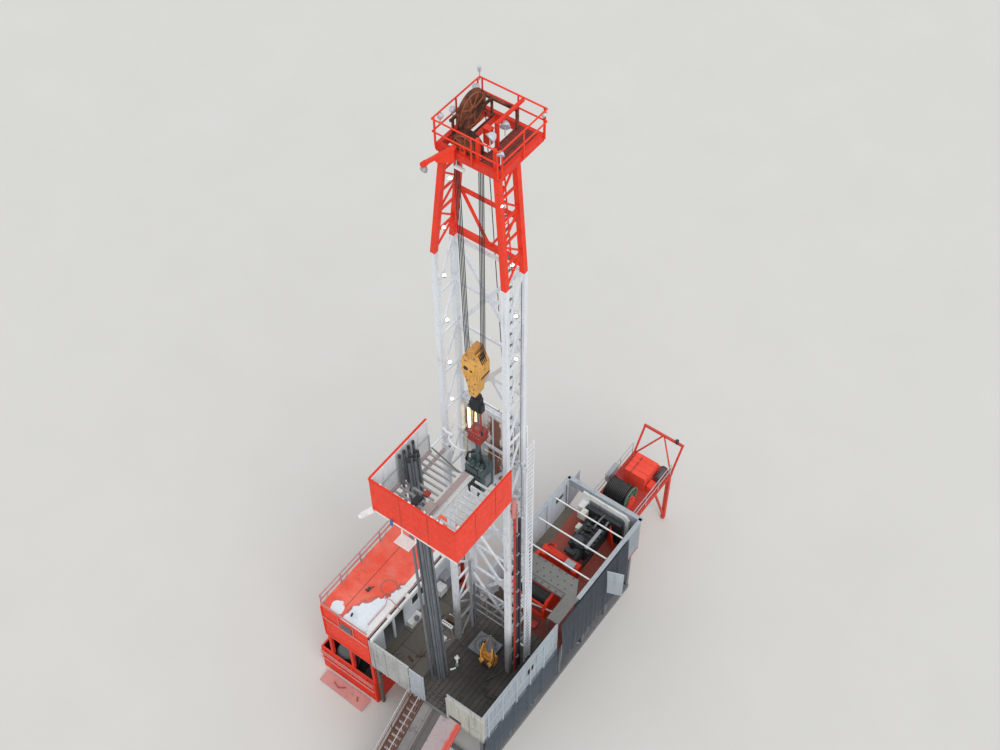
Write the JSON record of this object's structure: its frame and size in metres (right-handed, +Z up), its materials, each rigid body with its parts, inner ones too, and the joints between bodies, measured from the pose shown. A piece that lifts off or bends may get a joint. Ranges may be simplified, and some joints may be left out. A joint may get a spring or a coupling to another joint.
{
  "type": "land drilling rig",
  "caption": "Land oil drilling rig: latticed telescoping mast with crown and racking board on a raised floor, with doghouse, windwalls, ramp, engine house and tail skid.",
  "frame": {"origin": "middle of the rig's footprint, at ground level", "axes": "+Z up, +Y from the ramp towards the engine house and tail skid, +X away from the doghouse"},
  "size_m": [11.2322, 25.2, 38.0698],
  "materials": {
    "white_paint": "worn gloss white paint with rust runs",
    "red_paint": "orange red gloss paint, worn",
    "galvanised": "weathered galvanised steel",
    "floor_plate": "dark chequered plate, wet and muddy",
    "timber": "grey weathered planks",
    "panel": "pale blue grey insulated panel",
    "yellow_paint": "chrome yellow paint, worn and greasy",
    "black_paint": "black oily paint",
    "rusty_steel": "rust brown steel",
    "wire_rope": "greased steel wire rope",
    "pipe_steel": "grey drill pipe",
    "stand_red": "dark red pipe paint",
    "tread": "rust brown grating"
  },
  "bodies": {
    "rig": {"substructure_left": "galvanised", "substructure_right": "galvanised", "substructure_cross": "galvanised", "drill_floor": "floor_plate", "side_deck": "timber", "rotary_table": "galvanised", "roughneck": "yellow_paint", "mast_left": "white_paint", "mast_right": "white_paint", "mast_back": "white_paint", "upper_left": "white_paint", "upper_right": "white_paint", "upper_back": "white_paint", "top_left": "red_paint", "top_right": "red_paint", "top_back": "red_paint", "crown_frame": "red_paint", "crown_rails": "red_paint", "fast_stand": "rusty_steel", "racking_board": "galvanised", "fingers": "galvanised", "board_wall_left": "red_paint", "board_wall_right": "red_paint", "board_wall_front": "red_paint", "mast_windwall": "white_paint", "racked_pipe": "pipe_steel", "drilling_lines": "wire_rope", "fast_line": "wire_rope", "standpipe": "stand_red", "mast_ladder": "white_paint", "doghouse_base": "red_paint", "doghouse_floor": "galvanised", "doghouse_shell": "red_paint", "doghouse_right": "white_paint", "doghouse_roof": "red_paint", "windwall_left": "panel", "windwall_right": "panel", "vdoor_ramp": "galvanised", "vdoor_stair": "tread", "engine_deck": "red_paint", "engine_wall_left": "panel", "engine_wall_right": "panel", "engine_wall_back": "panel", "house_frame": "white_paint", "engine": "black_paint", "drawworks": "red_paint", "drawworks_roof": "panel", "tail_skid": "red_paint", "tail_machines": "red_paint"},
    "block": {"travelling_block": "yellow_paint", "block_sheaves": "rusty_steel", "hook": "black_paint", "top_drive": "black_paint"},
    "crown_sheaves": {"crown_sheaves": "rusty_steel"},
    "fast_sheave": {"fast_sheave": "rusty_steel"},
    "drum": {"drum": "black_paint"},
    "reel": {"reel": "black_paint"},
    "left_door": {"left_door": "panel"},
    "side_door": {"side_door": "panel"},
    "gate": {"vdoor_gate": "panel"}
  },
  "joints": [
    {"name": "block_travel", "type": "slide", "parent": "rig", "child": "block", "axis": [0, 0, 1], "range_m": [-12.5, 6], "deforming": ["drilling_lines"]},
    {"name": "crown_sheaves_spin", "type": "hinge", "parent": "rig", "child": "crown_sheaves", "pos_m": [1.81392, -2.42, 36.85], "axis": [0, 1, 0], "continuous": true},
    {"name": "fast_sheave_spin", "type": "hinge", "parent": "rig", "child": "fast_sheave", "pos_m": [1.28392, -1.547, 37.37], "axis": [1, 0, 0], "continuous": true},
    {"name": "drum_spin", "type": "hinge", "parent": "rig", "child": "drum", "pos_m": [2.03392, 1.2, 4.9], "axis": [1, 0, 0], "continuous": true},
    {"name": "reel_spin", "type": "hinge", "parent": "rig", "child": "reel", "pos_m": [2.03392, 8.6, 4.93], "axis": [1, 0, 0], "continuous": true},
    {"name": "left_door_hinge", "type": "hinge", "parent": "rig", "child": "left_door", "pos_m": [0.40392, 6.835, 4.2], "axis": [0, 0, 1], "range_deg": [-95, 15]},
    {"name": "side_door_hinge", "type": "hinge", "parent": "rig", "child": "side_door", "pos_m": [4.72892, 3.56, 4.2], "axis": [0, 0, 1], "range_deg": [-30, 70]},
    {"name": "gate_hinge", "type": "hinge", "parent": "rig", "child": "gate", "pos_m": [0.35392, -6.38, 4.2], "axis": [0, 0, 1], "range_deg": [0, 100]}
  ]
}
